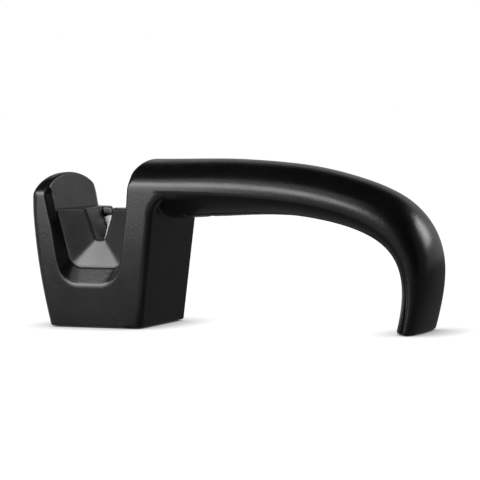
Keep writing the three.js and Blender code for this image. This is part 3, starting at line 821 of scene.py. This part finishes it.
def floor_white():
    """White to the camera and to gloss, with a painted contact shadow: its glow dims where the object
    stands close to it.
    """
    material, tree, shader = finish("white floor")
    shader.inputs["Base Color"].default_value = (0.2, 0.2, 0.2, 1)
    shader.inputs["Roughness"].default_value = 0.9
    shader.inputs["Specular IOR Level"].default_value = 0
    shader.inputs["Emission Color"].default_value = (0.95, 0.95, 0.95, 1)
    # Painted shadow: the floor's glow dims where the object stands close around it.
    painted_contact_shadow = tree.nodes.new("ShaderNodeAmbientOcclusion")
    painted_contact_shadow.inputs["Distance"].default_value = painted_shadow_reach
    painted_contact_shadow.samples = 8
    level = tree.nodes.new("ShaderNodeMath")
    level.operation = "MULTIPLY"
    tree.links.new(seen_plainly(tree), level.inputs[0])
    tree.links.new(painted_contact_shadow.outputs["AO"], level.inputs[1])
    tree.links.new(level.outputs["Value"], shader.inputs["Emission Strength"])
    return material


def panel(name, corner, first, second, material):
    """A flat sheet from a corner along two edges."""
    mesh = bpy.data.meshes.new(name)
    corner, first, second = Vector(corner), Vector(first), Vector(second)
    corners = [corner, corner + first, corner + first + second, corner + second]
    mesh.from_pydata(corners, [], [(0, 1, 2, 3)])
    mesh.materials.append(material)
    sheet = placed(name, mesh)
    return sheet


panel("floor", (-30, -30, 0), (60, 0, 0), (0, 60, 0), floor_white())


def card(level):
    """Grey card of an even level, seen only by way of gloss."""
    material, _, shader = finish("grey card")
    shader.inputs["Base Color"].default_value = (0, 0, 0, 1)
    shader.inputs["Roughness"].default_value = 1
    shader.inputs["Specular IOR Level"].default_value = 0
    shader.inputs["Emission Color"].default_value = (1, 1, 1, 1)
    shader.inputs["Emission Strength"].default_value = level
    return material


black, dim, mid, pale = card(0), card(0.1), card(0.42), card(0.38)
for name, corner, first, second, grey in (
    ("overhead_flag", (-1.8, -0.45, 1.2), (3.6, 0, 0), (0, 2.2, 0), black),
    ("overhead_front_flag", (0.15, -1.5, 1.2), (1.65, 0, 0), (0, 1.05, 0), black),
    ("table_flag", (-0.09, -0.06, card_lift), (1.69, 0, 0), (0, 2, 0), dim),
    ("table_right_flag", (0.03, -0.6, card_lift), (1, 0, 0), (0, 0.54, 0), dim),
    ("table_left_flag", (-1, -1, card_lift), (1.03, 0, 0), (0, 0.94, 0), pale),
    ("table_front_flag", (-1, -0.06, card_lift), (0.95, 0, 0), (0, 0.04, 0), pale),
    ("camera_flag", (0.1, -1.2, 0), (1.3, 0.9, 0), (0, 0, 1.2), black),
    ("right_flag", (1.4, -0.3, 0), (0, 1.15, 0), (0, 0, 1.2), dim),
    ("rear_flag", (0.9, 1.75, 0), (-2.7, 0, 0), (0, 0, 1.2), mid),
    ("rear_right_flag", (0.9, 1.75, 0), (0.5, -0.9, 0), (0, 0, 1.2), mid),
    ("left_flag", (-1.8, 1.75, 0), (0, -1.95, 0), (0, 0, 1.2), black),
    ("left_front_flag", (-1.8, -0.2, 0), (0.6, -0.8, 0), (0, 0, 0.3), pale),
    ("front_flag", (-1.2, -1, 0), (1.3, -0.2, 0), (0, 0, 0.3), pale),
):
    flag = panel(name, corner, first, second, grey)
    flag.visible_camera = False
    flag.visible_diffuse = False
    flag.visible_shadow = False

world = bpy.data.worlds.new("studio")
bpy.context.scene.world = world
world.use_nodes = True
world_tree = world.node_tree
world_tree.nodes["Background"].inputs["Strength"].default_value = 1
surround = tint(world_tree, seen_plainly(world_tree), (0.25, 0.25, 0.25), (1, 1, 1))
world_tree.links.new(surround, world_tree.nodes["Background"].inputs["Color"])


def softbox(name, at, target, width, height, watts):
    """A soft rectangular lamp that faces a target."""
    lamp = bpy.data.lights.new(name, "AREA")
    lamp.shape = "RECTANGLE"
    lamp.size, lamp.size_y, lamp.energy = width, height, watts
    lamp_object = placed(name, lamp)
    lamp_object.location = at
    lamp_object.rotation_euler = (Vector(target) - Vector(at)).to_track_quat("-Z", "Y").to_euler()
    lamp_object.visible_camera = False


softbox("key softbox", (-0.8, -1.15, 1.07), (0, 0, 0.05), 2, 0.56, 21)
softbox("low softbox", (-0.16, -0.24, 0.11), (-0.064, -0.02, 0.05), 0.16, 0.18, 0.25)
softbox("rim softbox", (0.85, 0.9, 0.6), (0.08, 0, 0.05), 0.5, 0.5, 4.4)

camera_data = bpy.data.cameras.new("camera")
camera_data.sensor_width = 36
camera_data.lens = 168.75
camera = placed("camera", camera_data)
camera_place = Vector((head_x + 483.63 * MM, -943.13 * MM, 101.32 * MM))
yaw, pitch, roll = math.radians(24), math.radians(3.387), math.radians(-0.7)
forward = Vector((-math.sin(yaw) * math.cos(pitch), math.cos(yaw) * math.cos(pitch), -math.sin(pitch)))
level_right = Vector((math.cos(yaw), math.sin(yaw), 0))
level_up = level_right.cross(forward)
right = level_right * math.cos(roll) + level_up * math.sin(roll)
up = level_up * math.cos(roll) - level_right * math.sin(roll)
turn = Matrix((right, up, -forward)).transposed().to_4x4()
camera.matrix_world = Matrix.Translation(camera_place) @ turn
bpy.context.scene.camera = camera
bpy.context.scene.view_settings.view_transform = "Standard"
